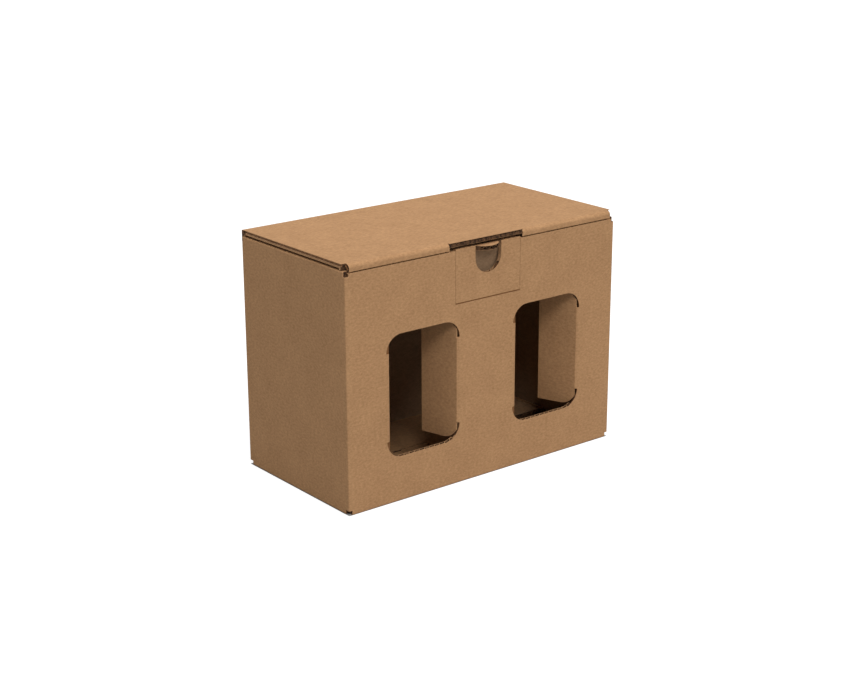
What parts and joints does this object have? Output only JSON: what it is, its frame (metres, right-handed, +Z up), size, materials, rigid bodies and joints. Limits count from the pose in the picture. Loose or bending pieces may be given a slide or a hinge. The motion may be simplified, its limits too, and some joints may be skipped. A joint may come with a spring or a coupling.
{
  "type": "jar shipping box",
  "caption": "Folding corrugated kraft board carton for jars, with a tuck-in lid, a lock tab with a thumb notch, flapped front windows and an interlocking bottom.",
  "frame": {"origin": "middle of the bounding box at the height of the bottom, where the carton rests", "axes": "+X to the right along the long front panel, +Y from the windowed front to the back, +Z up"},
  "size_m": [0.2, 0.1054, 0.1453],
  "materials": {
    "kraft_board": "uncoated brown kraft liner, matt, with faint fluting"
  },
  "bodies": {
    "carton": {"carton": "kraft_board"},
    "lid": {"lid": "kraft_board"},
    "lock_tab": {"lock_tab": "kraft_board"},
    "left_window_left_flap": {"left_window_left_flap": "kraft_board"},
    "left_window_right_flap": {"left_window_right_flap": "kraft_board"},
    "right_window_left_flap": {"right_window_left_flap": "kraft_board"},
    "right_window_right_flap": {"right_window_right_flap": "kraft_board"}
  },
  "joints": [
    {"name": "lid_hinge", "type": "hinge", "parent": "carton", "child": "lid", "pos_m": [0, 0.05275, 0.1453], "axis": [-1, 0, 0], "range_deg": [0, 260]},
    {"name": "lock_tab_crease", "type": "hinge", "parent": "carton", "child": "lock_tab", "pos_m": [0.00085, -0.04915, 0.1094], "axis": [1, 0, 0], "range_deg": [0, 90]},
    {"name": "left_window_left_crease", "type": "hinge", "parent": "carton", "child": "left_window_left_flap", "pos_m": [-0.0715, -0.04825, 0.0635], "axis": [0, 0, 1], "range_deg": [-75, 25]},
    {"name": "left_window_right_crease", "type": "hinge", "parent": "carton", "child": "left_window_right_flap", "pos_m": [-0.0214, -0.04825, 0.0635], "axis": [0, 0, -1], "range_deg": [-75, 25]},
    {"name": "right_window_left_crease", "type": "hinge", "parent": "carton", "child": "right_window_left_flap", "pos_m": [0.0215, -0.04825, 0.0635], "axis": [0, 0, 1], "range_deg": [-70, 30]},
    {"name": "right_window_right_crease", "type": "hinge", "parent": "carton", "child": "right_window_right_flap", "pos_m": [0.0719, -0.04825, 0.0635], "axis": [0, 0, -1], "range_deg": [-70, 30]}
  ]
}
